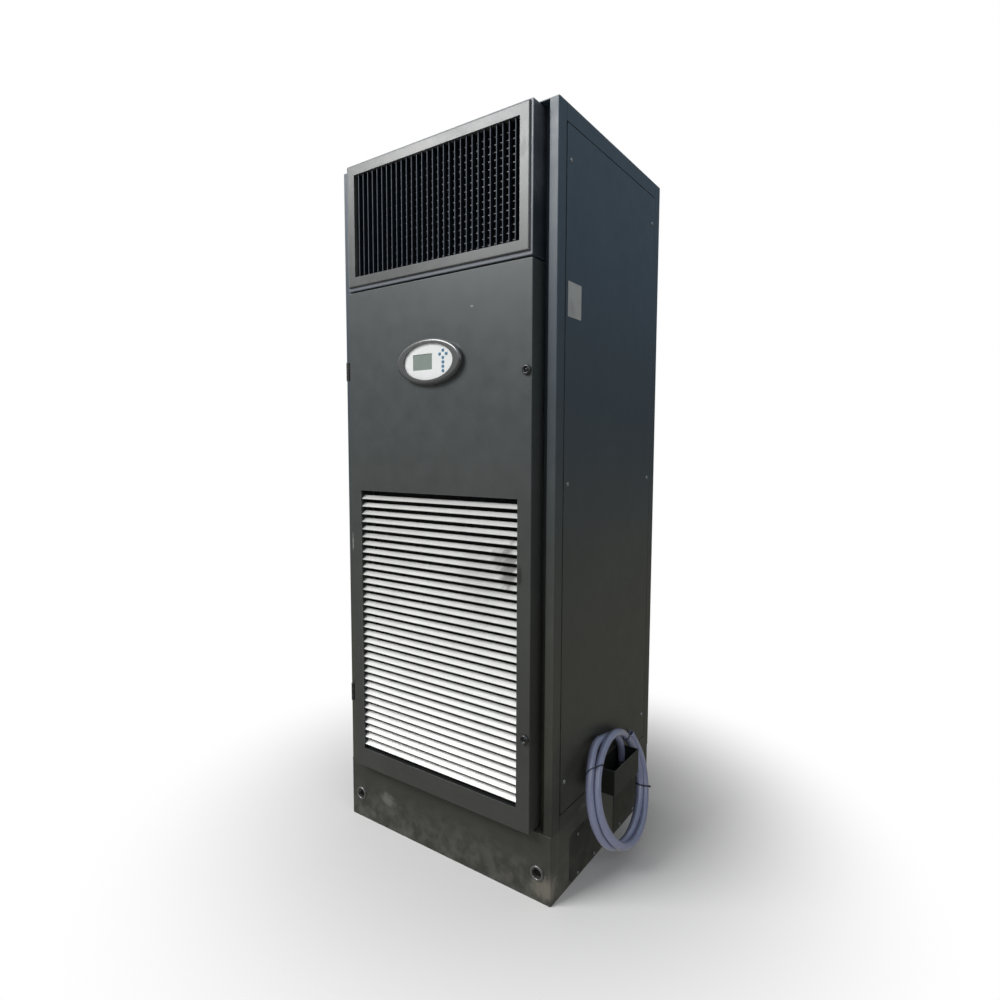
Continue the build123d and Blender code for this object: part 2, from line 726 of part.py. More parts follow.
with BuildPart() as hose_coil:
    with BuildSketch(Plane(origin=(half_width + coil_off_wall, coil_middle, coil_height), x_dir=(0, 1, 0),
                           z_dir=(cos(radians(coil_lean)), 0, sin(radians(coil_lean))))):
        Ellipse(coil_half_length, coil_half_height)
        Ellipse(coil_half_length - hose_diameter, coil_half_height - hose_diameter,
                mode=Mode.SUBTRACT)
    extrude(amount=coil_width / 2, both=True)
    fillet(hose_coil.edges(), hose_diameter / 3)
finish(hose_coil, "hose_coil")

gland_top = lead_vectors[0]
gland_line = lead_runs[0].normalized()
with BuildPart() as hose_gland:
    with BuildSketch(Plane(origin=gland_top - gland_line * gland_length, z_dir=gland_line)):
        Circle(gland_radius)
    extrude(amount=gland_length)
finish(hose_gland, "hose_gland")
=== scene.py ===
import json
from math import cos, pi, radians, sin

import bmesh
import bpy
import numpy as np
from mathutils import Matrix, Vector

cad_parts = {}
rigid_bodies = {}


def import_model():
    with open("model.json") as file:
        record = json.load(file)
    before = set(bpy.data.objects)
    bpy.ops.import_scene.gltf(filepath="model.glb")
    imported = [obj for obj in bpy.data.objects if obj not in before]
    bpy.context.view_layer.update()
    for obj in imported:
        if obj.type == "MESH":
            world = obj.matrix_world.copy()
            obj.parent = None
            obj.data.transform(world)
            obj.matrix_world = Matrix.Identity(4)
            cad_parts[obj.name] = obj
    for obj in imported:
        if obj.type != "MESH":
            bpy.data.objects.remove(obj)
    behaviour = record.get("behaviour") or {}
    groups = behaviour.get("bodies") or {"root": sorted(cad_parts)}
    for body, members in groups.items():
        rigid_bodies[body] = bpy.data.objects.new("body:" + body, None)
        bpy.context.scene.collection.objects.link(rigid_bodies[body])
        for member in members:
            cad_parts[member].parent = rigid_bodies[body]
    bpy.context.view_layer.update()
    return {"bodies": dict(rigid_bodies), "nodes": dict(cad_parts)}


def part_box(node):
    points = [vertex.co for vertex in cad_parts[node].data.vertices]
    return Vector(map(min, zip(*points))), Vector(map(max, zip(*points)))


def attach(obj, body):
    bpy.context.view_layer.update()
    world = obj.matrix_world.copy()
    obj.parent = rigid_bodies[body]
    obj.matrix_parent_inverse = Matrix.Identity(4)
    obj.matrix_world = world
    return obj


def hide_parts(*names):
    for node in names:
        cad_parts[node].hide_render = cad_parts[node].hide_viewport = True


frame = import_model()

# Computer room air conditioner: black satin cabinet, silver louvre, drain hose on the right side
nodes = frame["nodes"]
bodies = sorted(frame["bodies"])
doorBody = next(name for name in bodies if "door" in name)
cabinetBody = next(name for name in bodies if "door" not in name)


# Quads between neighbouring points of a rows x columns grid; a closed side wraps round
def gridFaces(rows, columns, closeRows=False, closeColumns=False):
    i, j = np.meshgrid(np.arange(rows - (not closeRows)), np.arange(columns - (not closeColumns)),
                       indexing="ij")
    i, j = i.ravel(), j.ravel()
    nextI, nextJ = (i + 1) % rows, (j + 1) % columns
    return np.stack([i * columns + j, nextI * columns + j, nextI * columns + nextJ, i * columns + nextJ], 1)


# Several (points, faces) pairs as one pair
def joinShapes(shapes):
    offsets = np.cumsum([0] + [len(points) for points, faces in shapes[:-1]])
    return (np.concatenate([points for points, faces in shapes]),
            np.concatenate([faces + start for (points, faces), start in zip(shapes, offsets)]))


# The same shape at many places: every point times every 4 x 4 placement
def placeCopies(shape, placements):
    points, faces = shape
    matrices = np.array([np.array(m) for m in placements])
    moved = np.einsum("mij,nj->mni", matrices[:, :3, :3], points) + matrices[:, None, :3, 3]
    starts = np.arange(len(matrices))[:, None, None] * len(points)
    return moved.reshape(-1, 3), (faces[None] + starts).reshape(-1, 4)


# A profile of (radius, height) pairs turned round the Z axis
def turnedShape(profile, sides):
    radius, height = np.array(profile, float).T
    angle = np.linspace(0, 2 * pi, sides, endpoint=False)
    points = np.stack([np.outer(radius, np.cos(angle)), np.outer(radius, np.sin(angle)),
                       np.repeat(height[:, None], sides, 1)], -1)
    return points.reshape(-1, 3), gridFaces(len(radius), sides, closeColumns=True)


# A flat section carried along a path; the section's axes stay square to the path and turn
# as little as they can from one point to the next
def sweptShape(path, section, closed=False, firstUp=(0, 0, 1)):
    path = np.array(path, float)
    if closed:
        along = np.roll(path, -1, 0) - np.roll(path, 1, 0)
    else:
        along = np.gradient(path, axis=0)
    along /= np.linalg.norm(along, axis=1, keepdims=True)
    up = np.zeros_like(path)
    side = np.array(firstUp, float)
    for k, direction in enumerate(along):
        side = side - direction * side.dot(direction)
        side /= np.linalg.norm(side)
        up[k] = side
    across = np.cross(along, up)
    section = np.array(section, float)
    points = path[:, None] + section[None, :, :1] * across[:, None] + section[None, :, 1:] * up[:, None]
    return points.reshape(-1, 3), gridFaces(len(path), len(section), closed, True)


def circleSection(radius, sides):
    angle = np.linspace(0, 2 * pi, sides, endpoint=False)
    return np.stack([radius * np.cos(angle), radius * np.sin(angle)], 1)


# Raises a sine or cosine to a power and keeps its sign
def signedPower(value, power):
    return np.sign(value) * np.abs(value) ** power


# A block with rounded corners: a sphere's grid whose sines and cosines are raised to a low power
def roundedBlock(size, power=0.35, steps=20):
    polar = np.linspace(-pi / 2, pi / 2, steps // 2 + 1)[:, None]
    turn = np.linspace(0, 2 * pi, steps, endpoint=False)[None]
    points = np.stack([signedPower(np.cos(polar), power) * signedPower(np.cos(turn), power),
                       signedPower(np.cos(polar), power) * signedPower(np.sin(turn), power),
                       signedPower(np.sin(polar), power) * np.ones_like(turn)], -1)
    return points.reshape(-1, 3) * np.array(size) / 2, gridFaces(polar.shape[0], steps, closeColumns=True)


# Turns local +Z to the given direction and moves it to a place
def facing(place, direction, spin=0.0):
    turn = Vector(direction).to_track_quat("Z", "Y").to_matrix().to_4x4()
    return Matrix.Translation(place) @ turn @ Matrix.Rotation(spin, 4, "Z")


def addPiece(name, shape, body, material, smooth=True, merge=1e-6):
    points, faces = shape
    mesh = bpy.data.meshes.new(name)
    mesh.from_pydata(points.tolist(), [], faces.tolist())
    tidy = bmesh.new()
    tidy.from_mesh(mesh)
    bmesh.ops.remove_doubles(tidy, verts=tidy.verts, dist=merge)
    bmesh.ops.dissolve_degenerate(tidy, edges=tidy.edges, dist=1e-7)
    bmesh.ops.recalc_face_normals(tidy, faces=tidy.faces)
    tidy.to_mesh(mesh)
    tidy.free()
    mesh.polygons.foreach_set("use_smooth", np.full(len(mesh.polygons), smooth))
    piece = bpy.data.objects.new(name, mesh)
    bpy.context.scene.collection.objects.link(piece)
    mesh.materials.append(material)
    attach(piece, body)
    return piece


# Material tools
def addNode(tree, kind, inputs=None, **settings):
    node = tree.nodes.new(kind)
    for key, value in settings.items():
        setattr(node, key, value)
    for socket, value in (inputs or {}).items():
        if isinstance(value, bpy.types.NodeSocket):
            tree.links.new(value, node.inputs[socket])
        else:
            node.inputs[socket].default_value = value
    return node


def calc(tree, operation, *values, clamp=False):
    return addNode(tree, "ShaderNodeMath", dict(enumerate(values)), operation=operation,
                   use_clamp=clamp).outputs[0]


def blendColour(tree, factor, first, second, mode="MIX"):
    return addNode(tree, "ShaderNodeMix", {0: factor, 6: first, 7: second}, data_type="RGBA",
                   blend_type=mode).outputs[2]


def smoothStep(tree, value, low, high):
    return addNode(tree, "ShaderNodeMapRange", {0: value, 1: low, 2: high, 3: 0.0, 4: 1.0},
                   interpolation_type="SMOOTHSTEP").outputs[0]


def inverse(tree, value):
    return calc(tree, "SUBTRACT", 1.0, value)


# How far a noise value lies from its mean
def offMean(tree, value, mean=0.5):
    return calc(tree, "SUBTRACT", value, mean)


def noise(tree, vector, scale, detail=3.0, roughness=0.5):
    return addNode(tree, "ShaderNodeTexNoise", {"Vector": vector, "Scale": scale, "Detail": detail,
                                                "Roughness": roughness}).outputs[0]


def objectPlace(tree):
    return addNode(tree, "ShaderNodeTexCoord").outputs["Object"]


def axisPart(tree, vector, axis):
    return addNode(tree, "ShaderNodeSeparateXYZ", {0: vector}).outputs[axis]


def addBump(tree, shader, height, strength, distance):
    bump = addNode(tree, "ShaderNodeBump", {"Height": height, "Strength": strength, "Distance": distance})
    tree.links.new(bump.outputs[0], shader["Normal"])


def setConstants(shader, constants):
    for socket, value in constants.items():
        shader[socket].default_value = value


def startGroup(name, inputs, outputs):
    group = bpy.data.node_groups.new(name, "ShaderNodeTree")
    for label, (kind, value) in inputs.items():
        socket = group.interface.new_socket(label, in_out="INPUT", socket_type="NodeSocket" + kind)
        socket.default_value = value
    for label, kind in outputs.items():
        group.interface.new_socket(label, in_out="OUTPUT", socket_type="NodeSocket" + kind)
    return group, group.nodes.new("NodeGroupInput").outputs, group.nodes.new("NodeGroupOutput").inputs


# Sprayed powder coat: broad clouds, fine orange peel and a few pale specks
powder = {"cloudDetail": 4.0, "cloudGrain": 0.55, "blotchFiner": 6.5, "blotchGrain": 0.6,
          "blotchShare": 0.45, "speckScale": 420.0, "speckLow": 0.70, "speckHigh": 0.80,
          "speckColour": (0.42, 0.43, 0.42, 1), "roughness": 0.40, "roughSpread": 0.22, "peelScale": 950.0}


def powderCoatGroup():
    group, given, out = startGroup("powderCoat", {
        "Colour": ("Color", (0.05, 0.05, 0.05, 1)), "Cloud Scale": ("Float", 4.0),
        "Cloud Depth": ("Float", 0.2), "Speck Depth": ("Float", 0.2)},
        {"Colour": "Color", "Roughness": "Float", "Height": "Float"})
    place = objectPlace(group)
    cloud = noise(group, place, given["Cloud Scale"], powder["cloudDetail"], powder["cloudGrain"])
    finer = calc(group, "MULTIPLY", given["Cloud Scale"], powder["blotchFiner"])
    blotch = noise(group, place, finer, roughness=powder["blotchGrain"])
    level = calc(group, "MULTIPLY_ADD", offMean(group, cloud), given["Cloud Depth"], 1.0)
    level = calc(group, "MULTIPLY_ADD", offMean(group, blotch),
                 calc(group, "MULTIPLY", given["Cloud Depth"], powder["blotchShare"]), level)
    shaded = addNode(group, "ShaderNodeVectorMath", {0: given["Colour"], "Scale": level}, operation="SCALE")
    speck = smoothStep(group, noise(group, place, powder["speckScale"], 2.0), powder["speckLow"],
                       powder["speckHigh"])
    speck = calc(group, "MULTIPLY", speck, given["Speck Depth"])
    group.links.new(blendColour(group, speck, shaded.outputs[0], powder["speckColour"]), out["Colour"])
    rough = calc(group, "MULTIPLY_ADD", offMean(group, blotch), powder["roughSpread"], powder["roughness"])
    group.links.new(rough, out["Roughness"])
    group.links.new(noise(group, place, powder["peelScale"], 1.0), out["Height"])
    return group


# Rubbed edges with a painted highlight: a pale mask where a bevelled normal leans away from the true one,
# broken by noise
rubAndHighlightLook = {"samples": 4, "grainScale": 38.0, "lowGrain": 0.35, "highGrain": 0.65, "bent": 0.86,
           "flat": 0.995}


def edgeRubAndHighlightGroup():
    group, given, out = startGroup("edgeRubAndHighlight", {"Width": ("Float", 0.0012), "Breakup": ("Float", 0.5)},
                                   {"Mask": "Float"})
    bevel = addNode(group, "ShaderNodeBevel", {"Radius": given["Width"]}, samples=rubAndHighlightLook["samples"])
    flat = addNode(group, "ShaderNodeNewGeometry").outputs["True Normal"]
    lean = addNode(group, "ShaderNodeVectorMath", {0: bevel.outputs[0], 1: flat},
                   operation="DOT_PRODUCT").outputs["Value"]
    grain = smoothStep(group, noise(group, objectPlace(group), rubAndHighlightLook["grainScale"], 4.0, 0.6),
                       rubAndHighlightLook["lowGrain"], rubAndHighlightLook["highGrain"])
    kept = inverse(group, calc(group, "MULTIPLY", given["Breakup"], grain))
    bent = inverse(group, smoothStep(group, lean, rubAndHighlightLook["bent"], rubAndHighlightLook["flat"]))
    group.links.new(calc(group, "MULTIPLY", bent, kept), out["Mask"])
    return group


# Dust that settles on faces that look up, and thinly in a band of heights near the floor
dustLook = {"steep": 0.35, "level": 0.95, "footShare": 0.55, "grainScale": 26.0, "lowGrain": 0.34,
            "highGrain": 0.72}


def dustGroup():
    group, given, out = startGroup("settledDust", {"Amount": ("Float", 0.4), "Low": ("Float", 0.0),
                                                   "High": ("Float", 0.2)}, {"Mask": "Float"})
    up = axisPart(group, addNode(group, "ShaderNodeNewGeometry").outputs["Normal"], "Z")
    place = objectPlace(group)
    top = smoothStep(group, up, dustLook["steep"], dustLook["level"])
    foot = inverse(group, smoothStep(group, axisPart(group, place, "Z"), given["Low"], given["High"]))
    both = calc(group, "MAXIMUM", top, calc(group, "MULTIPLY", foot, dustLook["footShare"]))
    grain = smoothStep(group, noise(group, place, dustLook["grainScale"], 6.0, 0.65), dustLook["lowGrain"],
                       dustLook["highGrain"])
    group.links.new(calc(group, "MULTIPLY", calc(group, "MULTIPLY", both, grain), given["Amount"]),
                    out["Mask"])
    return group


# One mark, used for smears and scuffs and for patches of painted shade and painted highlight: a soft
# ellipsoid round a place, torn by noise
smearAndPaintedLightLook = {"tear": 1.5, "full": 0.35, "gone": 1.05}


def smearAndPaintedLightGroup():
    group, given, out = startGroup("smearAndPaintedLight", {
        "Place": ("Vector", (0, 0, 0)), "Reach": ("Vector", (0.05, 0.05, 0.05)),
        "Grain": ("Float", 60.0), "Amount": ("Float", 0.5)}, {"Mask": "Float"})
    place = objectPlace(group)
    away = addNode(group, "ShaderNodeVectorMath", {0: place, 1: given["Place"]}, operation="SUBTRACT")
    shrunk = addNode(group, "ShaderNodeVectorMath", {0: away.outputs[0], 1: given["Reach"]},
                     operation="DIVIDE")
    far = addNode(group, "ShaderNodeVectorMath", {0: shrunk.outputs[0]},
                  operation="LENGTH").outputs["Value"]
    torn = calc(group, "MULTIPLY_ADD", offMean(group, noise(group, place, given["Grain"], 5.0, 0.65)),
                smearAndPaintedLightLook["tear"], far)
    mask = inverse(group, smoothStep(group, torn, smearAndPaintedLightLook["full"], smearAndPaintedLightLook["gone"]))
    group.links.new(calc(group, "MULTIPLY", mask, given["Amount"], clamp=True), out["Mask"])
    return group


# Streaks along one axis, as on rolled or drawn metal: noise squeezed across that axis
def streakGroup():
    group, given, out = startGroup("streaks", {"Stretch": ("Vector", (2, 160, 160)),
                                               "Depth": ("Float", 0.3)}, {"Value": "Float"})
    squeezed = addNode(group, "ShaderNodeVectorMath", {0: objectPlace(group), 1: given["Stretch"]},
                       operation="MULTIPLY")
    fine = offMean(group, noise(group, squeezed.outputs[0], 1.0, 4.0, 0.6))
    group.links.new(calc(group, "MULTIPLY_ADD", fine, given["Depth"], 1.0), out["Value"])
    return group


# A colour that goes from one at the foot to another at the head of the object; where the two differ this is
# a painted reflection, olive of the ground low down and blue of the sky high up
def heightReflectionTintGroup():
    group, given, out = startGroup("heightReflectionTint", {
        "Low": ("Color", (0.05, 0.05, 0.04, 1)), "High": ("Color", (0.05, 0.06, 0.07, 1)),
        "Foot": ("Float", 0.3), "Head": ("Float", 1.8)}, {"Colour": "Color"})
    height = axisPart(group, objectPlace(group), "Z")
    group.links.new(blendColour(group, smoothStep(group, height, given["Foot"], given["Head"]),
                                given["Low"], given["High"]), out["Colour"])
    return group


powderCoat, edgeRubAndHighlight, settledDust = powderCoatGroup(), edgeRubAndHighlightGroup(), dustGroup()
smearAndPaintedLight, streaks, heightReflectionTint = smearAndPaintedLightGroup(), streakGroup(), heightReflectionTintGroup()


def startMaterial(name):
    material = bpy.data.materials.new(name)
    material.use_nodes = True
    tree = material.node_tree
    return material, tree, tree.nodes["Principled BSDF"].inputs


def useGroup(tree, group, **inputs):
    return addNode(tree, "ShaderNodeGroup", {k.replace("_", " "): v for k, v in inputs.items()},
                   node_tree=group).outputs


# Lays each mark of (place, reach, grain, amount, tone) over a colour; the marks are smears and patches of
# painted shade and painted highlight
def addSmearsAndPaintedLight(tree, colour, smearsAndPaintedLight):
    for place, reach, grain, amount, tone in smearsAndPaintedLight:
        mark = useGroup(tree, smearAndPaintedLight, Place=place, Reach=reach, Grain=grain, Amount=amount)["Mask"]
        colour = blendColour(tree, mark, colour, (*tone, 1))
    return colour


# Satin powder coat with clouds, dust, smears and patches of painted shade and highlight, rubbed edges with
# a painted highlight, and a foot-to-head tint that paints a reflection
paintLook = {"cloudScale": 3.2, "rubAndHighlightWidth": 0.0016, "rubAndHighlightBreakup": 0.6, "rubAndHighlightColour": (0.30, 0.31, 0.31, 1),
             "dustHigh": 0.16, "dustColour": (0.30, 0.29, 0.26, 1), "dustRough": 0.4, "bump": 0.22,
             "bumpDepth": 0.0004}


def paintMaterial(name, low, high, clouds=0.35, specks=0.10, dust=0.35, rubAndHighlight=0.5, specular=0.5,
                  roughLift=0.0, metallic=0.0, smearsAndPaintedLight=()):
    material, tree, shader = startMaterial(name)
    tint = useGroup(tree, heightReflectionTint, Low=(*low, 1), High=(*high, 1))["Colour"]
    coat = useGroup(tree, powderCoat, Colour=tint, Cloud_Scale=paintLook["cloudScale"], Cloud_Depth=clouds,
                    Speck_Depth=specks)
    # Pale edges: partly rubbed paint, partly a painted highlight along the folds
    rubAndHighlightMask = useGroup(tree, edgeRubAndHighlight, Width=paintLook["rubAndHighlightWidth"], Breakup=paintLook["rubAndHighlightBreakup"])["Mask"]
    colour = blendColour(tree, calc(tree, "MULTIPLY", rubAndHighlightMask, rubAndHighlight), coat["Colour"], paintLook["rubAndHighlightColour"])
    dusty = useGroup(tree, settledDust, Amount=dust, Low=0.0, High=paintLook["dustHigh"])["Mask"]
    colour = blendColour(tree, dusty, colour, paintLook["dustColour"])
    tree.links.new(addSmearsAndPaintedLight(tree, colour, smearsAndPaintedLight), shader["Base Color"])
    lift = calc(tree, "MULTIPLY_ADD", dusty, paintLook["dustRough"], roughLift)
    tree.links.new(calc(tree, "ADD", coat["Roughness"], lift, clamp=True), shader["Roughness"])
    addBump(tree, shader, coat["Height"], paintLook["bump"], paintLook["bumpDepth"])
    setConstants(shader, {"Specular IOR Level": specular, "Metallic": metallic})
    return material


# Plain moulded or painted finish: one colour with slight clouds and its own gloss
plainLook = {"cloudScale": 22.0, "rubAndHighlightWidth": 0.0008, "rubAndHighlightBreakup": 0.4, "rubAndHighlightColour": (0.55, 0.56, 0.56, 1),
             "roughShare": 0.5, "bump": 0.3}


def plainMaterial(name, colour, roughness, clouds=0.12, metallic=0.0, coat=0.0, bumpScale=600.0,
                  bumpDepth=0.0001, specular=0.5, rubAndHighlight=0.0, smearsAndPaintedLight=()):
    material, tree, shader = startMaterial(name)
    powdered = useGroup(tree, powderCoat, Colour=(*colour, 1), Cloud_Scale=plainLook["cloudScale"],
                        Cloud_Depth=clouds, Speck_Depth=0.0)
    shade = powdered["Colour"]
    # Pale edges: partly rubbed paint, partly a painted highlight along the edges
    if rubAndHighlight:
        rubAndHighlightMask = useGroup(tree, edgeRubAndHighlight, Width=plainLook["rubAndHighlightWidth"],
                          Breakup=plainLook["rubAndHighlightBreakup"])["Mask"]
        shade = blendColour(tree, calc(tree, "MULTIPLY", rubAndHighlightMask, rubAndHighlight), shade, plainLook["rubAndHighlightColour"])
    tree.links.new(addSmearsAndPaintedLight(tree, shade, smearsAndPaintedLight), shader["Base Color"])
    rough = calc(tree, "MULTIPLY_ADD", offMean(tree, powdered["Roughness"], powder["roughness"]),
                 plainLook["roughShare"], roughness, clamp=True)
    tree.links.new(rough, shader["Roughness"])
    addBump(tree, shader, noise(tree, objectPlace(tree), bumpScale, 2.0), plainLook["bump"], bumpDepth)
    setConstants(shader, {"Metallic": metallic, "Coat Weight": coat, "Specular IOR Level": specular})
    return material


# Black vanes with a painted highlight on their front edges: a pale mask over the first half millimetre
# behind the nose
vaneLook = {"dark": (0.006, 0.010, 0.016, 1), "depth": 0.00045, "fullShare": 0.3, "grainScale": 45.0,
            "grainSpan": 0.7, "grainLeast": 0.55, "roughScale": 30.0, "roughSpan": 0.2, "roughLeast": 0.36}


def vaneMaterial(node, pale):
    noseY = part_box(node)[0][1]
    material, tree, shader = startMaterial(node.replace("_vanes", "VaneBlackNoseHighlight"))
    place = objectPlace(tree)
    noseHighlightMask = inverse(tree, smoothStep(tree, axisPart(tree, place, "Y"),
                                    noseY + vaneLook["fullShare"] * vaneLook["depth"],
                                    noseY + vaneLook["depth"]))
    grain = calc(tree, "MULTIPLY_ADD", noise(tree, place, vaneLook["grainScale"], 4.0, 0.6),
                 vaneLook["grainSpan"], vaneLook["grainLeast"], clamp=True)
    shade = blendColour(tree, calc(tree, "MULTIPLY", noseHighlightMask, grain), vaneLook["dark"], pale)
    tree.links.new(shade, shader["Base Color"])
    tree.links.new(calc(tree, "MULTIPLY_ADD", noise(tree, place, vaneLook["roughScale"]),
                        vaneLook["roughSpan"], vaneLook["roughLeast"]), shader["Roughness"])
    setConstants(shader, {"Specular IOR Level": 0.25})
    return material


def assign(material, *names):
    for name in names:
        piece = nodes[name]
        if not piece.material_slots:
            piece.data.materials.append(material)
        for materialSlot in piece.material_slots:
            materialSlot.material = material


print("groups and helpers ready")

# Camera and light
view = {"place": (1.0690, -1.5432, 1.1036), "yaw": 35.127, "pitch": 4.544, "roll": 0.182,
        "lens": 22.48, "sensor": 36.0}
camera = bpy.data.objects.new("camera", bpy.data.cameras.new("camera"))
camera.data.sensor_width = view["sensor"]
camera.data.lens = view["lens"]
camera.data.clip_end = 60
camera.matrix_world = (Matrix.Translation(view["place"]) @ Matrix.Rotation(radians(view["yaw"]), 4, "Z")
                       @ Matrix.Rotation(radians(90 - view["pitch"]), 4, "X")
                       @ Matrix.Rotation(radians(view["roll"]), 4, "Z"))
bpy.context.scene.collection.objects.link(camera)
bpy.context.scene.camera = camera
bpy.context.scene.view_settings.view_transform = "Standard"

lamps = {
    "skySoftbox": {"place": (-2.0, -3.4, 4.1), "aim": (0.0, -0.3, 1.3), "size": (2.8, 1.8), "power": 205},
    "rightFill": {"place": (3.2, -1.6, 2.6), "aim": (0.3, 0.0, 0.9), "size": (2.0, 2.0), "power": 16},
}
for name, lamp in lamps.items():
    light = bpy.data.lights.new(name, "AREA")
    light.shape = "RECTANGLE"
    light.size, light.size_y = lamp["size"]
    light.energy = lamp["power"]
    holder = bpy.data.objects.new(name, light)
    holder.location = lamp["place"]
    aim = Vector(lamp["aim"]) - Vector(lamp["place"])
    holder.rotation_euler = aim.to_track_quat("-Z", "Y").to_euler()
    bpy.context.scene.collection.objects.link(holder)

# World: white for the camera and through clear plastic, a soft grey as light, and in gloss a sky
# that is bright high up in front on the left and dark elsewhere
sky = {"light": 0.28, "dark": 0.13, "bright": 1.0, "lowRise": -0.03, "highRise": 0.42,
       "lowAbove": 0.45, "highAbove": 0.80, "lowAhead": -0.2, "highAhead": 0.75, "aheadShare": 0.72,
       "towards": (-0.66, -0.75, 0.0), "tint": (0.62, 0.82, 1.0, 1)}
world = bpy.data.worlds.new("studio")
bpy.context.scene.world = world
world.use_nodes = True
worldTree = world.node_tree
rays = addNode(worldTree, "ShaderNodeLightPath").outputs
seen = calc(worldTree, "MAXIMUM", rays["Is Camera Ray"], rays["Is Transmission Ray"])
heading = addNode(worldTree, "ShaderNodeTexCoord").outputs["Generated"]
rise = smoothStep(worldTree, axisPart(worldTree, heading, "Z"), sky["lowRise"], sky["highRise"])
ahead = addNode(worldTree, "ShaderNodeVectorMath", {0: heading, 1: sky["towards"]},
                operation="DOT_PRODUCT").outputs["Value"]
ahead = smoothStep(worldTree, ahead, sky["lowAhead"], sky["highAhead"])
gleam = calc(worldTree, "MULTIPLY", rise, calc(worldTree, "MULTIPLY_ADD", ahead, sky["aheadShare"],
                                               1 - sky["aheadShare"]))
above = smoothStep(worldTree, axisPart(worldTree, heading, "Z"), sky["lowAbove"], sky["highAbove"])
gleam = calc(worldTree, "MAXIMUM", gleam, above)
gleam = calc(worldTree, "MULTIPLY_ADD", gleam, sky["bright"] - sky["dark"], sky["dark"])
level = addNode(worldTree, "ShaderNodeMix", {0: rays["Is Glossy Ray"], 2: sky["light"],
                                             3: gleam}).outputs[0]
level = addNode(worldTree, "ShaderNodeMix", {0: seen, 2: level, 3: 1.0}).outputs[0]
tinted = calc(worldTree, "MULTIPLY", rays["Is Glossy Ray"], inverse(worldTree, ahead))
backdrop = worldTree.nodes["Background"]
worldTree.links.new(level, backdrop.inputs["Strength"])
worldTree.links.new(blendColour(worldTree, tinted, (1, 1, 1, 1), sky["tint"]), backdrop.inputs["Color"])

# Floor: pale, white further out so that only the near shadow shows, and dull in gloss
ground = {"half": 14.0, "drop": 0.0005, "pale": (0.86, 0.86, 0.86, 1), "dull": (0.20, 0.195, 0.17, 1),
          "fadeFrom": 0.4, "fadeTo": 1.2}
floorData = bpy.data.meshes.new("floor")
floorData.from_pydata([(x * ground["half"], y * ground["half"], -ground["drop"])
                       for x, y in ((-1, -1), (1, -1), (1, 1), (-1, 1))], [], [(0, 1, 2, 3)])
floor = bpy.data.objects.new("floor", floorData)
bpy.context.scene.collection.objects.link(floor)
floorMaterial, floorTree, floorShader = startMaterial("paleFloor")
setConstants(floorShader, {"Base Color": ground["pale"], "Roughness": 0.9, "Specular IOR Level": 0.0})
floorReach = addNode(floorTree, "ShaderNodeVectorMath", {0: objectPlace(floorTree)},
                     operation="LENGTH").outputs["Value"]
floorGlow, floorDull = [
    addNode(floorTree, "ShaderNodeEmission", {"Color": tone, "Strength": 1.0}).outputs[0]
    for tone in ((1, 1, 1, 1), ground["dull"])]
floorRays = addNode(floorTree, "ShaderNodeLightPath").outputs
floorSeen = calc(floorTree, "MAXIMUM", floorRays["Is Camera Ray"], floorRays["Is Transmission Ray"])
floorFade = calc(floorTree, "MULTIPLY", smoothStep(floorTree, floorReach, ground["fadeFrom"],
                                                  ground["fadeTo"]), floorSeen)
floorMix = addNode(floorTree, "ShaderNodeMixShader", {
    0: floorFade, 1: floorTree.nodes["Principled BSDF"].outputs[0], 2: floorGlow}).outputs[0]
floorMix = addNode(floorTree, "ShaderNodeMixShader", {0: floorRays["Is Glossy Ray"], 1: floorMix,
                                                     2: floorDull}).outputs[0]
floorTree.links.new(floorMix, floorTree.nodes["Material Output"].inputs["Surface"])
floorData.materials.append(floorMaterial)
print("camera, lamps and floor ready")

# Drain hose: clear tube, up out of the gland in the hood and round nearly two turns held by ties.
# The lead's points and the turns' are one spline. Each row of "course" is (angle round the coil in
# degrees, shift away from the wall and extra radius in mm): the first turn runs down in front and
# along the wall below, comes up at the rear inside the second one and crosses over the lead on
# top, and the free end stops high at the rear.
hose = {"diameter": 0.021, "bore": 0.0158, "pointsPerTurn": 16, "sides": 28,
        "centre": (0.4076, -0.0196, 0.1953), "least": 1e-5,
        "lean": 15.4, "alongReach": 0.1495, "upReach": 0.1355, "joinAngle": 61.5, "endAngle": -582.0,
        "course": [(61.5, 0.5, 39.0), (35.0, 0.8, 31.5), (5.0, -3.8, 24.6), (-25.0, -9.0, 15.5),
                   (-50.0, -13.0, 7.6), (-75.0, -16.0, -0.5), (-105.0, -17.7, -8.9), (-135.0, -17.3, -14.0),
                   (-165.0, -15.3, -15.3), (-195.0, -11.8, -13.1), (-225.0, -6.1, -7.2), (-250.0, 2.5, 1.3),
                   (-275.0, 10.5, 9.5), (-298.5, 14.0, 14.0), (-325.0, 11.0, 12.7), (-355.0, 9.2, 8.7),
                   (-385.0, 10.5, 4.5), (-410.0, 9.0, 3.0), (-435.0, 5.2, 3.0), (-465.0, -1.3, 3.7),
                   (-495.0, -7.6, 4.6), (-520.0, -9.9, 6.1), (-545.0, -9.5, 8.6), (-565.0, -8.7, 10.6),
                   (-582.0, -8.0, 12.2)]}
lead = [(0.3670, 0.060, 0.2220), (0.3670, 0.060, 0.2500), (0.3662, 0.050, 0.2840),
        (0.3640, 0.030, 0.3080), (0.3620, 0.000, 0.3210), (0.3612, -0.038, 0.3290)]
coilCentre = np.array(hose["centre"])
coilAxis = np.array([cos(radians(hose["lean"])), 0, sin(radians(hose["lean"]))])
coilUp = np.array([-sin(radians(hose["lean"])), 0, cos(radians(hose["lean"]))])
coilSide = np.array([0.0, -1.0, 0.0])
steps = round((hose["joinAngle"] - hose["endAngle"]) / 360 * hose["pointsPerTurn"])
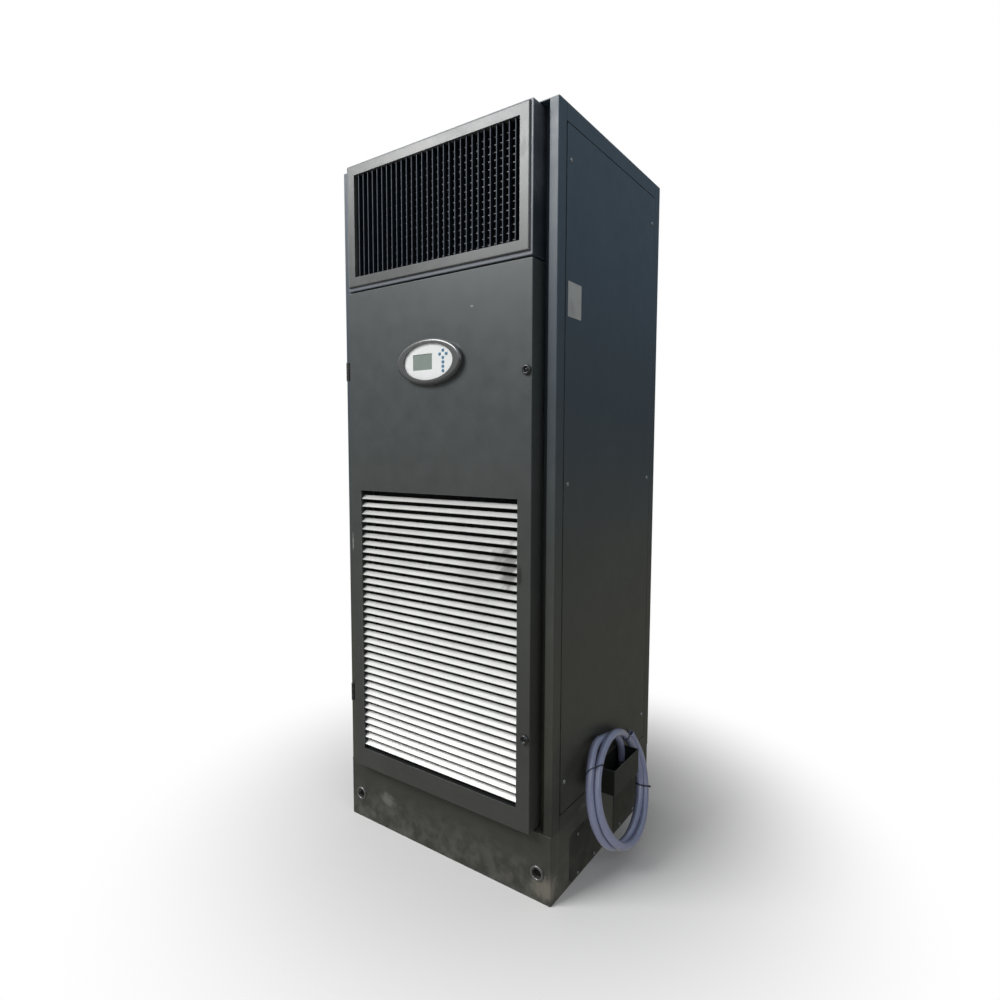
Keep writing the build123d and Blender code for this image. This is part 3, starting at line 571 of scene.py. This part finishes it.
angle = np.linspace(hose["joinAngle"], hose["endAngle"], steps + 1)
courseAngle, courseShift, courseLoose = np.array(hose["course"])[::-1].T
shift = np.interp(angle, courseAngle, courseShift) / 1000
loose = np.interp(angle, courseAngle, courseLoose) / 1000
shrink = 1 / (0.25 * cos(2 * pi / hose["pointsPerTurn"]) + 0.75)   # the spline runs inside its points
turns = (coilCentre + np.outer(shift, coilAxis)
         + np.outer((hose["alongReach"] + loose) * shrink * np.cos(np.radians(angle)), coilSide)
         + np.outer((hose["upReach"] + loose) * shrink * np.sin(np.radians(angle)), coilUp))
route = lead + turns.tolist()
hoseCurve = bpy.data.curves.new("hoseRoute", "CURVE")
hoseCurve.dimensions = "3D"
spline = hoseCurve.splines.new("NURBS")
spline.points.add(len(route) - 1)
for point, (x, y, z) in zip(spline.points, route):
    point.co = (x, y, z, 1)
spline.order_u = 3
spline.use_endpoint_u = True
spline.resolution_u = 8
routeObject = bpy.data.objects.new("hoseRoute", hoseCurve)
bpy.context.scene.collection.objects.link(routeObject)
bpy.context.view_layer.update()
routeMesh = bpy.data.meshes.new_from_object(routeObject)
hosePath = np.array([v.co for v in routeMesh.vertices])
bpy.data.objects.remove(routeObject)
runs = np.linalg.norm(np.diff(hosePath, axis=0), axis=1)
hosePath = hosePath[np.concatenate([[True], runs > hose["least"]])]
runs = np.linalg.norm(np.diff(hosePath, axis=0), axis=1)
hoseReach = np.concatenate([[0], np.cumsum(runs)])


# A tube with a wall: outer and inner circles carried along the path and joined at both ends
def tubeWithBore(path, outerRadius, innerRadius, sides):
    outer, outerFaces = sweptShape(path, circleSection(outerRadius, sides), firstUp=(1, 0, 0))
    inner, innerFaces = sweptShape(path, circleSection(innerRadius, sides), firstUp=(1, 0, 0))
    count, last = len(outer), len(outer) - sides
    ring = np.arange(sides)
    after = (ring + 1) % sides
    nearCap = np.stack([ring, after, after + count, ring + count], 1)
    farCap = np.stack([last + ring, last + after, last + after + count, last + ring + count], 1)
    return (np.concatenate([outer, inner]),
            np.concatenate([outerFaces, innerFaces[:, ::-1] + count, nearCap, farCap]))


# Clear blue-grey plastic, milky with age
hoseLook = {"colour": (0.40, 0.43, 0.62, 1), "cloudScale": 14.0, "clouds": 0.35, "specks": 0.03,
            "roughShare": 0.4, "roughness": 0.12, "clear": 0.40, "index": 1.42, "coat": 0.8}


def hoseMaterial():
    material, tree, shader = startMaterial("clearHose")
    tone = useGroup(tree, powderCoat, Colour=hoseLook["colour"], Cloud_Scale=hoseLook["cloudScale"],
                    Cloud_Depth=hoseLook["clouds"], Speck_Depth=hoseLook["specks"])
    tree.links.new(tone["Colour"], shader["Base Color"])
    rough = calc(tree, "MULTIPLY_ADD", offMean(tree, tone["Roughness"], powder["roughness"]),
                 hoseLook["roughShare"], hoseLook["roughness"], clamp=True)
    tree.links.new(rough, shader["Roughness"])
    setConstants(shader, {"Transmission Weight": hoseLook["clear"], "IOR": hoseLook["index"],
                          "Coat Weight": hoseLook["coat"]})
    return material


hoseShape = tubeWithBore(hosePath, hose["diameter"] / 2, hose["bore"] / 2, hose["sides"])
hosePiece = addPiece("drainHose", hoseShape, cabinetBody, hoseMaterial(), merge=1e-7)
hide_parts("hose_lead", "hose_coil")

# Cable ties: each is a belt round the strands that pass at its angle, with a head and a tail.
# Each row of "places" is (angle round the coil, angle of the head, tail's length, skew)
ties = {"width": 0.0036, "sheet": 0.0011, "slack": 0.0003, "head": (0.0062, 0.0052, 0.0046),
        "skip": 0.19, "sides": 64, "tailWidth": 0.42, "tailSteps": 8, "tailRise": 0.4, "tailCurl": 14,
        "tailLean": 0.75,
        "places": [(38.0, 200.0, 0.006, -1.20), (203.0, 30.0, 0.008, -0.35), (126.0, 60.0, 0.014, 0.0)]}


# Points where the hose crosses an angle of the coil, one for each strand, past the lead
def strandsAt(degrees):
    away = hosePath - coilCentre
    ahead = away @ coilSide / hose["alongReach"]
    above = away @ coilUp / hose["upReach"]
    across = ahead * sin(radians(degrees)) - above * cos(radians(degrees))
    along = ahead * cos(radians(degrees)) + above * sin(radians(degrees))
    hit = np.nonzero((across[:-1] * across[1:] < 0) & (along[:-1] > 0) & (hoseReach[:-1] > ties["skip"]))[0]
    part = (across[hit] / (across[hit] - across[hit + 1]))[:, None]
    return hosePath[hit] * (1 - part) + hosePath[hit + 1] * part


# Belt: for each direction round, the strand centre that lies furthest that way plus the radius
def tieShape(degrees, headTurn, tail, skew):
    centres = strandsAt(degrees)
    outward = (coilSide * cos(radians(degrees)) / hose["alongReach"]
               + coilUp * sin(radians(degrees)) / hose["upReach"])
    outward /= np.linalg.norm(outward)
    forward = np.cross(coilAxis, outward)
    turn = np.linspace(0, 2 * pi, ties["sides"], endpoint=False)
    directions = np.outer(np.cos(turn), coilAxis) + np.outer(np.sin(turn), outward)
    inner = hose["diameter"] / 2 + ties["slack"]
    furthest = centres[np.argmax(directions @ centres.T, 1)]
    half = forward * ties["width"] / 2
    slant = np.outer((furthest + directions * inner - centres.mean(0)) @ coilAxis * skew, forward)
    rings = [furthest + slant + directions * reach + shift
             for reach, shift in ((inner, -half), (inner, half), (inner + ties["sheet"], half),
                                  (inner + ties["sheet"], -half))]
    belt = np.stack(rings, 1).reshape(-1, 3), gridFaces(ties["sides"], 4, True, True)
    direction = coilAxis * cos(radians(headTurn)) + outward * sin(radians(headTurn))
    base = centres[np.argmax(centres @ direction)] + direction * (inner + ties["head"][2] / 2)
    base = base + forward * ((base - centres.mean(0)) @ coilAxis * skew)
    away = np.cross(forward, direction)
    headPlace = np.eye(4)
    headPlace[:3, :3] = np.stack([forward, away, direction], 1)
    headPlace[:3, 3] = base
    block = placeCopies(roundedBlock(ties["head"]), [headPlace])
    along = np.linspace(0, tail, ties["tailSteps"])[:, None]
    curl = (base + direction * (ties["tailRise"] * along + ties["tailCurl"] * along ** 2)
            + away * along * ties["tailLean"])
    section = np.array([(-1, -0.3), (1, -0.3), (1, 0.3), (-1, 0.3)]) * ties["width"] * ties["tailWidth"]
    points, faces = sweptShape(curl, section, firstUp=direction)
    caps = np.arange(4) + np.array([[0], [len(points) - 4]])
    return joinShapes([belt, block, (points, np.concatenate([faces, caps]))])


tieMaterial = plainMaterial("tieBlack", (0.012, 0.012, 0.013), 0.35)
tiePieces = [addPiece("hoseTie%d" % (k + 1), tieShape(*place), cabinetBody, tieMaterial)
             for k, place in enumerate(ties["places"])]
print("hose", round(float(hoseReach[-1]), 3), "m")

# Gland: lock nut, body and ribbed cap, all clear of the hood's wall
gland = {"place": (0.367, 0.060), "foot": 0.197, "ribs": 24, "ribDepth": 0.0006, "ribsBeyond": 0.0136,
         "nut": [(0.0, 0.0), (0.0145, 0.0), (0.0145, 0.0055), (0.0110, 0.0055)],
         "body": [(0.0115, 0.004), (0.0128, 0.0048), (0.0128, 0.0095), (0.0118, 0.0098), (0.0138, 0.0100),
                  (0.0142, 0.0108), (0.0142, 0.0185), (0.0136, 0.0205), (0.0122, 0.0240), (0.0114, 0.0250),
                  (0.0107, 0.0250), (0.0107, 0.0180)]}


def glandShape():
    nut = turnedShape(gland["nut"], 6)
    points, faces = turnedShape(gland["body"], gland["ribs"] * 4)
    reach = np.linalg.norm(points[:, :2], axis=1)
    turn = np.arctan2(points[:, 1], points[:, 0])
    ribbed = (reach > gland["ribsBeyond"]) * gland["ribDepth"] * (np.cos(turn * gland["ribs"]) - 1) / 2
    points[:, :2] *= (1 + ribbed / np.maximum(reach, 1e-6))[:, None]
    shape = joinShapes([nut, (points, faces)])
    return placeCopies(shape, [Matrix.Translation((*gland["place"], gland["foot"]))])


glandPiece = addPiece("hoseGland", glandShape(), cabinetBody,
                      plainMaterial("glandBlack", (0.014, 0.014, 0.015), 0.45), smooth=False)
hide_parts("hose_gland")

# Screws: pan heads with a cross recess
screws = {"sideX": 0.350, "sideY": (-0.243, 0.243), "sideZ": (0.291, 1.024, 1.762), "plateX": 0.3505,
          "platePlaces": [(-0.167, 0.117), (-0.072, 0.117), (-0.166, 0.0115), (-0.072, 0.0125),
                          (0.091, 0.014), (0.186, 0.014), (0.091, 0.117), (0.186, 0.117)],
          "coverInset": 0.014, "coverRows": 4}
cross = {"domePower": 3.2, "halfSlot": 0.17, "slotEdge": 0.07, "halfReach": 0.62, "reachEdge": 0.08,
         "depth": 0.75, "shallower": 0.4}


# Head: a dome over a disc, its height falling with the radius; the cross is a pit where either
# arm's distance is small, deeper towards the middle
def screwHead(radius, proud, rings=14, sides=40, slotOnly=False):
    reach = np.linspace(0, 1, rings)[:, None] * np.ones(sides)
    turn = np.linspace(0, 2 * pi, sides, endpoint=False)[None]
    across, along = reach * np.cos(turn), reach * np.sin(turn)
    dome = proud * np.sqrt(np.clip(1 - reach ** cross["domePower"], 0, 1))
    arms = [np.clip((cross["halfSlot"] - np.abs(width)) / cross["slotEdge"], 0, 1)
            * np.clip((cross["halfReach"] - np.abs(length)) / cross["reachEdge"], 0, 1)
            for width, length in ((across, along), (along, across))]
    pit = arms[0] if slotOnly else np.maximum(*arms)
    height = dome - pit * proud * cross["depth"] * (1 - cross["shallower"] * reach)
    points = np.stack([across * radius, along * radius, height], -1).reshape(-1, 3)
    return points, gridFaces(rings, sides, closeColumns=True)


screwMaterial = plainMaterial("screwSteel", (0.30, 0.30, 0.29), 0.38, metallic=0.75, clouds=0.3)
sidePlaces = [(y, z) for y in screws["sideY"] for z in screws["sideZ"]]
coverLow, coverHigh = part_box("service_cover")
coverX = (coverLow[0] + screws["coverInset"], coverHigh[0] - screws["coverInset"])
coverZ = np.linspace(coverLow[2] + screws["coverInset"], coverHigh[2] - screws["coverInset"],
                     screws["coverRows"])
# Each row is (piece, radius, height of the head, placements)
screwSets = [
    ("rightPanelScrews", 0.0052, 0.0026, [facing((screws["sideX"], y, z), (1, 0, 0), 0.4 + 1.7 * k)
                                          for k, (y, z) in enumerate(sidePlaces)]),
    ("leftPanelScrews", 0.0052, 0.0004, [facing((-screws["sideX"], y, z), (-1, 0, 0), 0.9 + 2.1 * k)
                                         for k, (y, z) in enumerate(sidePlaces)]),
    ("coverPlateScrews", 0.0040, 0.0020, [facing((screws["plateX"], y, z), (1, 0, 0), 0.3 + 1.3 * k)
                                          for k, (y, z) in enumerate(screws["platePlaces"])]),
    ("serviceCoverScrews", 0.0042, 0.0018, [facing((x, coverLow[1], z), (0, -1, 0), 0.5 + z * 9)
                                            for x in coverX for z in coverZ])]
for name, radius, proud, places in screwSets:
    addPiece(name, placeCopies(screwHead(radius, proud), places), cabinetBody, screwMaterial)
print("screws done")

# Door gasket: a soft strip on the folded lips, all round the back of the door
gasket = {"halfWidth": 0.295, "foot": 0.189, "head": 1.528, "corner": 0.012, "width": 0.009,
          "proud": 0.0032, "lipY": -0.278, "archSteps": 9}


# A rectangle's outline with round corners, as points in X and Z
def roundedOutline(halfWidth, foot, head, corner, steps=8):
    quarter = np.linspace(0, pi / 2, steps)
    points = []
    for (x, z), start in (((halfWidth, head), 0), ((-halfWidth, head), 90), ((-halfWidth, foot), 180),
                          ((halfWidth, foot), 270)):
        centre = np.array([x - np.sign(x) * corner, z - corner if z == head else z + corner])
        bend = quarter + radians(start)
        points.append(centre + corner * np.stack([np.cos(bend), np.sin(bend)], 1))
    return np.concatenate(points)


outline = roundedOutline(gasket["halfWidth"], gasket["foot"], gasket["head"], gasket["corner"])
gasketPath = np.stack([outline[:, 0], np.full(len(outline), gasket["lipY"]), outline[:, 1]], 1)
arch = np.linspace(0, pi, gasket["archSteps"])
gasketSection = np.stack([np.cos(arch) * gasket["width"] / 2, np.sin(arch) * gasket["proud"]], 1)
addPiece("doorGasket", sweptShape(gasketPath, gasketSection, closed=True, firstUp=(0, 1, 0)), doorBody,
         plainMaterial("gasketRubber", (0.014, 0.014, 0.014), 0.75))

# Domed key caps of the control panel
keysLow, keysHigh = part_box("control_keys")
keys = {"radius": 0.0042, "column": 0.048, "spread": 0.0106, "row": 0.0089, "pitch": 0.01075, "count": 4,
        "profile": ((1, 0), (1, 0.45), (0.93, 0.75), (0.75, 0.92), (0.4, 1), (0, 1))}
keyTop = keysHigh[2] - keys["radius"]
keyPlaces = [(keys["column"], keyTop), (keys["column"] - keys["spread"], keyTop - keys["row"]),
             (keys["column"] + keys["spread"], keyTop - keys["row"])]
keyPlaces += [(keys["column"], keyTop - 2 * keys["row"] - k * keys["pitch"]) for k in range(keys["count"])]
keyProud = keysHigh[1] - keysLow[1]
keyShape = turnedShape([(keys["radius"] * wide, keyProud * high) for wide, high in keys["profile"]], 24)
keyPiece = addPiece("keyCaps", placeCopies(keyShape, [facing((x, keysHigh[1], z), (0, -1, 0))
                                                      for x, z in keyPlaces]), doorBody,
                    plainMaterial("keyBlue", (0.075, 0.19, 0.31), 0.30, coat=0.3))
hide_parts("control_keys")

# Key locks: a raised ring round a sunk face with the keyhole's slot
lock = {"x": 0.2895, "heights": (1.287, 0.416), "faceY": -0.330, "spin": 0.15, "sunkFace": (0.0058, 0.0046),
        "ring": [(0.0, -0.014), (0.0085, -0.014), (0.0085, 0.0), (0.0119, 0.0), (0.0120, 0.0014),
                 (0.0118, 0.0036), (0.0108, 0.0056), (0.0094, 0.0067), (0.0080, 0.0069), (0.0070, 0.0062),
                 (0.0064, 0.0050), (0.0058, 0.0046)]}
lockRing = turnedShape(lock["ring"], 48)
lockFace = screwHead(*lock["sunkFace"], slotOnly=True)
lockPlaces = [facing((lock["x"], lock["faceY"], z), (0, -1, 0), lock["spin"]) for z in lock["heights"]]
lockPiece = addPiece("keyLocks", placeCopies(joinShapes([lockRing, lockFace]), lockPlaces), doorBody,
                     plainMaterial("lockBlack", (0.016, 0.017, 0.018), 0.16, coat=0.5))
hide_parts("upper_lock", "lower_lock")
print("gasket, keys and locks done")

# Finishes of the solids. Each mark, a smear or a patch of painted shade and highlight, is (place, reach,
# grain, amount, tone)
# The cabinet's and the door's foot colours carry a painted olive reflection of the ground, their head
# colours a painted blue reflection of the sky
paintWithGroundReflection, paintWithSkyReflection = (0.053, 0.054, 0.042), (0.034, 0.053, 0.074)
cabinetPaint = paintMaterial("cabinetPaint", paintWithGroundReflection, paintWithSkyReflection, dust=0.2, smearsAndPaintedLight=[
    # Dark patch over the lower front of the right side, round the hose coil: partly dirt, partly painted
    # shade
    ((0.349, -0.250, 0.200), (0.05, 0.36, 0.24), 5.0, 0.75, (0.020, 0.021, 0.020)),
    ((0.349, -0.144, 0.170), (0.03, 0.03, 0.02), 70.0, 0.30, (0.20, 0.20, 0.19))])
doorPaint = paintMaterial("doorPaint", (0.050, 0.052, 0.047), (0.046, 0.056, 0.059), specks=0.16, smearsAndPaintedLight=[
    ((0.272, -0.330, 0.807), (0.010, 0.03, 0.030), 60.0, 0.80, (0.016, 0.017, 0.016)),
    ((-0.301, -0.330, 0.842), (0.004, 0.03, 0.030), 90.0, 0.80, (0.30, 0.30, 0.30)),
    ((0.131, -0.330, 1.449), (0.006, 0.03, 0.003), 150.0, 0.60, (0.30, 0.30, 0.30))])
# The rim's pale blue tone is a painted sheen on its rounded fold; the dark smear over the grille panel's
# right side face is painted shade
rimSheenTone, plinthTone = (0.100, 0.112, 0.132), (0.041, 0.042, 0.036)
rimSheenAndShade = paintMaterial("rimSheenAndShade", rimSheenTone, rimSheenTone, clouds=0.25, smearsAndPaintedLight=[
    ((0.3065, -0.300, 1.700), (0.006, 0.60, 1.50), 3.0, 1.0, (0.020, 0.028, 0.037))])
plinthPaint = paintMaterial("plinthPaint", plinthTone, plinthTone, dust=0.45, smearsAndPaintedLight=[
    ((-0.200, -0.302, 0.087), (0.035, 0.03, 0.022), 70.0, 0.45, (0.22, 0.22, 0.20)),
    ((0.335, -0.302, 0.040), (0.05, 0.04, 0.04), 55.0, 0.55, (0.24, 0.22, 0.18))])
# The hood and the plinth's cover plates are darkened far below the cabinet's paint: painted shade round the
# hose coil
hoodShadeTone, plateShadeTone = (0.018, 0.021, 0.017), (0.009, 0.011, 0.010)
hoodPaintedShade = paintMaterial("hoodPaintedShade", hoodShadeTone, hoodShadeTone, dust=0.15, specular=0.35)
platePaintedShade = paintMaterial("platePaintedShade", plateShadeTone, plateShadeTone, dust=0.2, specular=0.25)
flangePaint = paintMaterial("flangePaint", (0.068, 0.073, 0.072), (0.070, 0.076, 0.075), clouds=0.9,
                            specks=0.0, dust=0.1, rubAndHighlight=0.2, specular=0.6, roughLift=-0.04, metallic=0.2,
                            smearsAndPaintedLight=[
    ((0.278, -0.335, 1.775), (0.012, 0.02, 0.030), 70.0, 0.90, (0.035, 0.036, 0.034)),
    # Pale band along the flange's top strip: a painted reflection of the sky
    ((-0.050, -0.335, 1.855), (0.16, 0.02, 0.018), 40.0, 0.60, (0.11, 0.11, 0.105)),
    # Dark band along the flange's bottom strip: painted shade
    ((-0.150, -0.335, 1.566), (0.14, 0.02, 0.018), 50.0, 0.45, (0.035, 0.037, 0.035)),
    # Black over the grille's inner box behind the flange's face: painted shade
    ((0.0, -0.280, 1.711), (0.90, 0.052, 0.90), 8.0, 1.0, (0.008, 0.011, 0.016))])
# The plenum and the filter frame inside the unit are made near black: painted shade
innerPaintedShade = plainMaterial("innerPaintedShade", (0.008, 0.010, 0.012), 0.7, specular=0.2)
assign(cabinetPaint, "front_left_post", "front_right_post", "rear_left_post", "rear_right_post",
       "base_rails", "top_rails", "left_side_panel", "right_side_panel", "rear_panel", "roof_panel",
       "front_surround", "service_cover")
assign(doorPaint, "door_panel")
assign(rimSheenAndShade, "grille_panel")
assign(plinthPaint, "plinth_front", "plinth_rear", "plinth_sides", "plinth_beam")
assign(platePaintedShade, "plinth_cover_plates")
assign(hoodPaintedShade, "hose_hood")
assign(flangePaint, "grille_core")
assign(innerPaintedShade, "supply_plenum", "filter_frame")
assign(plainMaterial("galvanised", (0.42, 0.43, 0.44), 0.42, clouds=0.5, metallic=0.8), "floor_pan")
assign(plainMaterial("boxGrey", (0.10, 0.10, 0.105), 0.5), "control_box")
# The pale nose tones paint the highlights on the vanes' front edges, brightest on the level vanes behind
assign(vaneMaterial("upright_vanes", (0.105, 0.125, 0.150, 1)), "upright_vanes")
assign(vaneMaterial("level_vanes", (0.48, 0.50, 0.52, 1)), "level_vanes")
assign(plainMaterial("frameBlack", (0.020, 0.021, 0.022), 0.45), "louvre_frame")
assign(plainMaterial("bezelBlack", (0.036, 0.038, 0.040), 0.34, coat=0.8, specular=0.9), "control_bezel")
assign(plainMaterial("faceWhite", (0.72, 0.74, 0.73), 0.35, clouds=0.05), "control_face")
assign(plainMaterial("displayGrey", (0.205, 0.250, 0.225), 0.22, coat=0.3), "display")
assign(plainMaterial("hingeBlack", (0.018, 0.018, 0.019), 0.38, rubAndHighlight=0.3), "upper_hinge_post_leaf",
       "lower_hinge_post_leaf", "upper_hinge_door_leaf", "lower_hinge_door_leaf")
# The filter pad is made near black: painted shade behind the louvre
assign(plainMaterial("filterPaintedShade", (0.020, 0.021, 0.021), 0.95, clouds=0.5, bumpScale=900.0,
                     bumpDepth=0.0006, specular=0.1), "filter_pad")
assign(plainMaterial("labelGrey", (0.36, 0.37, 0.36), 0.45, clouds=0.25, smearsAndPaintedLight=[
    ((0.351, -0.235, 1.43), (0.02, 0.02, 0.03), 120.0, 0.35, (0.20, 0.20, 0.20))]), "label_plate")
assign(plainMaterial("ringSteel", (0.20, 0.20, 0.20), 0.28, clouds=0.3, metallic=0.7, rubAndHighlight=0.4),
       "plinth_rings")


# Brushed silver of the louvre blades: streaks along X, with a dark dusty smear at the right
bladeLook = {"colour": (0.84, 0.845, 0.83, 1), "stretch": (3.0, 240.0, 240.0), "streaks": 0.35,
             "cloudScale": 5.0, "clouds": 0.30, "specks": 0.05, "roughShare": 0.35, "roughness": 0.42,
             "bump": 0.15, "bumpDepth": 0.0002, "metallic": 0.45}


def bladeMaterial():
    material, tree, shader = startMaterial("louvreSilver")
    streak = useGroup(tree, streaks, Stretch=bladeLook["stretch"], Depth=bladeLook["streaks"])["Value"]
    cloud = useGroup(tree, powderCoat, Colour=bladeLook["colour"], Cloud_Scale=bladeLook["cloudScale"],
                     Cloud_Depth=bladeLook["clouds"], Speck_Depth=bladeLook["specks"])
    shade = addNode(tree, "ShaderNodeVectorMath", {0: cloud["Colour"], "Scale": streak},
                    operation="SCALE").outputs[0]
    shade = addSmearsAndPaintedLight(tree, shade, [
        ((0.236, -0.328, 0.824), (0.030, 0.04, 0.075), 48.0, 0.70, (0.14, 0.14, 0.135)),
        ((0.205, -0.328, 0.842), (0.022, 0.04, 0.030), 70.0, 0.55, (0.16, 0.16, 0.155)),
        ((0.150, -0.328, 0.800), (0.09, 0.04, 0.10), 30.0, 0.18, (0.25, 0.25, 0.24))])
    tree.links.new(shade, shader["Base Color"])
    rough = calc(tree, "MULTIPLY_ADD", offMean(tree, streak, 1.0), bladeLook["roughShare"],
                 bladeLook["roughness"], clamp=True)
    tree.links.new(rough, shader["Roughness"])
    addBump(tree, shader, streak, bladeLook["bump"], bladeLook["bumpDepth"])
    setConstants(shader, {"Metallic": bladeLook["metallic"]})
    return material


assign(bladeMaterial(), "louvre_blades")
print("finishes assigned")
